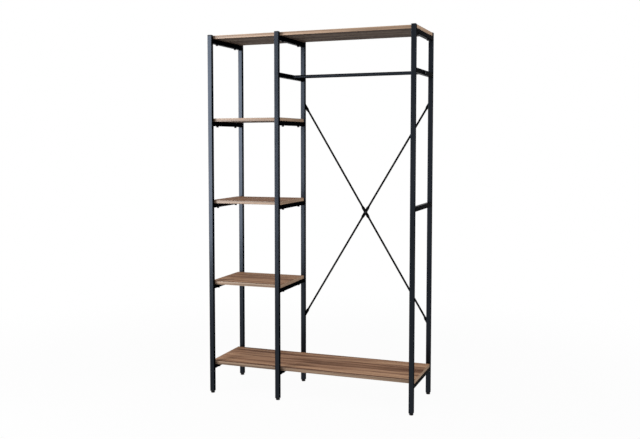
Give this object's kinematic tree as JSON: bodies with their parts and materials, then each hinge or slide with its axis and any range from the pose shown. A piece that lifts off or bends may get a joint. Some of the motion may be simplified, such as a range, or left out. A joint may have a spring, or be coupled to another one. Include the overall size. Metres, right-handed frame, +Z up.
{
  "type": "open frame wardrobe",
  "caption": "Tall open wardrobe of black square steel tube with walnut-look boards: a hanging bay with a rail and cross brace beside a narrow shelf bay, on levelling feet.",
  "frame": {"origin": "bottom centre of the outer box, on the floor", "axes": "+X to the right along the boards, +Y to the back, +Z up"},
  "size_m": [1.0434, 0.4096, 1.8],
  "materials": {
    "frame_steel": "fine matt powder coat, slate black",
    "walnut_board": "walnut-look foil on chipboard, low sheen, grain along the length",
    "edge_band": "pale walnut edge band, low sheen",
    "black_plastic": "matt moulded black",
    "black_bolt": "black-coated steel, satin",
    "zinc_steel": "bright zinc plating"
  },
  "bodies": {
    "frame": {"left_front_post": "frame_steel", "left_rear_post": "frame_steel", "middle_front_post": "frame_steel", "middle_rear_post": "frame_steel", "right_front_post": "frame_steel", "right_rear_post": "frame_steel", "left_bottom_rung": "frame_steel", "left_lower_shelf_rung": "frame_steel", "left_middle_shelf_rung": "frame_steel", "left_upper_shelf_rung": "frame_steel", "left_top_rung": "frame_steel", "middle_bottom_rung": "frame_steel", "middle_lower_shelf_rung": "frame_steel", "middle_middle_shelf_rung": "frame_steel", "middle_upper_shelf_rung": "frame_steel", "middle_top_rung": "frame_steel", "middle_rail_rung": "frame_steel", "right_bottom_rung": "frame_steel", "right_top_rung": "frame_steel", "right_rail_rung": "frame_steel", "right_side_rung": "frame_steel", "hanging_rail": "frame_steel", "brace_rod_rising": "frame_steel", "brace_rod_falling": "frame_steel", "bottom_board": "walnut_board", "lower_shelf": "walnut_board", "middle_shelf": "walnut_board", "upper_shelf": "walnut_board", "top_board": "walnut_board", "board_edge_bands": "edge_band", "post_top_caps": "black_plastic", "left_front_foot_plug": "black_plastic", "left_rear_foot_plug": "black_plastic", "middle_front_foot_plug": "black_plastic", "middle_rear_foot_plug": "black_plastic", "right_front_foot_plug": "black_plastic", "right_rear_foot_plug": "black_plastic", "board_bolts": "black_bolt", "rail_bolts": "black_bolt", "brace_end_bolts": "black_bolt", "brace_centre_bolt": "black_bolt", "brace_centre_nut": "black_bolt", "board_inserts": "zinc_steel", "rail_inserts": "zinc_steel", "brace_inserts": "zinc_steel"},
    "left_front_foot_screw": {"left_front_foot_stud": "zinc_steel"},
    "left_front_foot": {"left_front_foot_pad": "black_plastic"},
    "left_rear_foot_screw": {"left_rear_foot_stud": "zinc_steel"},
    "left_rear_foot": {"left_rear_foot_pad": "black_plastic"},
    "middle_front_foot_screw": {"middle_front_foot_stud": "zinc_steel"},
    "middle_front_foot": {"middle_front_foot_pad": "black_plastic"},
    "middle_rear_foot_screw": {"middle_rear_foot_stud": "zinc_steel"},
    "middle_rear_foot": {"middle_rear_foot_pad": "black_plastic"},
    "right_front_foot_screw": {"right_front_foot_stud": "zinc_steel"},
    "right_front_foot": {"right_front_foot_pad": "black_plastic"},
    "right_rear_foot_screw": {"right_rear_foot_stud": "zinc_steel"},
    "right_rear_foot": {"right_rear_foot_pad": "black_plastic"}
  },
  "joints": [
    {"name": "left_front_foot_lift", "type": "slide", "parent": "frame", "child": "left_front_foot_screw", "axis": [0, 0, -1], "range_m": [0, 0.01]},
    {"name": "left_front_foot_turn", "type": "hinge", "parent": "left_front_foot_screw", "child": "left_front_foot", "pos_m": [-0.51075, -0.19375, 0], "axis": [0, 0, -1], "range_deg": [0, 2880]},
    {"name": "left_rear_foot_lift", "type": "slide", "parent": "frame", "child": "left_rear_foot_screw", "axis": [0, 0, -1], "range_m": [0, 0.01]},
    {"name": "left_rear_foot_turn", "type": "hinge", "parent": "left_rear_foot_screw", "child": "left_rear_foot", "pos_m": [-0.51075, 0.18425, 0], "axis": [0, 0, -1], "range_deg": [0, 2880]},
    {"name": "middle_front_foot_lift", "type": "slide", "parent": "frame", "child": "middle_front_foot_screw", "axis": [0, 0, -1], "range_m": [0, 0.01]},
    {"name": "middle_front_foot_turn", "type": "hinge", "parent": "middle_front_foot_screw", "child": "middle_front_foot", "pos_m": [-0.15675, -0.19375, 0], "axis": [0, 0, -1], "range_deg": [0, 2880]},
    {"name": "middle_rear_foot_lift", "type": "slide", "parent": "frame", "child": "middle_rear_foot_screw", "axis": [0, 0, -1], "range_m": [0, 0.01]},
    {"name": "middle_rear_foot_turn", "type": "hinge", "parent": "middle_rear_foot_screw", "child": "middle_rear_foot", "pos_m": [-0.15675, 0.18425, 0], "axis": [0, 0, -1], "range_deg": [0, 2880]},
    {"name": "right_front_foot_lift", "type": "slide", "parent": "frame", "child": "right_front_foot_screw", "axis": [0, 0, -1], "range_m": [0, 0.01]},
    {"name": "right_front_foot_turn", "type": "hinge", "parent": "right_front_foot_screw", "child": "right_front_foot", "pos_m": [0.50725, -0.19375, 0], "axis": [0, 0, -1], "range_deg": [0, 2880]},
    {"name": "right_rear_foot_lift", "type": "slide", "parent": "frame", "child": "right_rear_foot_screw", "axis": [0, 0, -1], "range_m": [0, 0.01]},
    {"name": "right_rear_foot_turn", "type": "hinge", "parent": "right_rear_foot_screw", "child": "right_rear_foot", "pos_m": [0.50725, 0.18425, 0], "axis": [0, 0, -1], "range_deg": [0, 2880]}
  ],
  "couplings": [
    {"joint": "left_front_foot_turn", "follows": "left_front_foot_lift", "rad_per_m": 5026.5},
    {"joint": "left_rear_foot_turn", "follows": "left_rear_foot_lift", "rad_per_m": 5026.5},
    {"joint": "middle_front_foot_turn", "follows": "middle_front_foot_lift", "rad_per_m": 5026.5},
    {"joint": "middle_rear_foot_turn", "follows": "middle_rear_foot_lift", "rad_per_m": 5026.5},
    {"joint": "right_front_foot_turn", "follows": "right_front_foot_lift", "rad_per_m": 5026.5},
    {"joint": "right_rear_foot_turn", "follows": "right_rear_foot_lift", "rad_per_m": 5026.5}
  ]
}
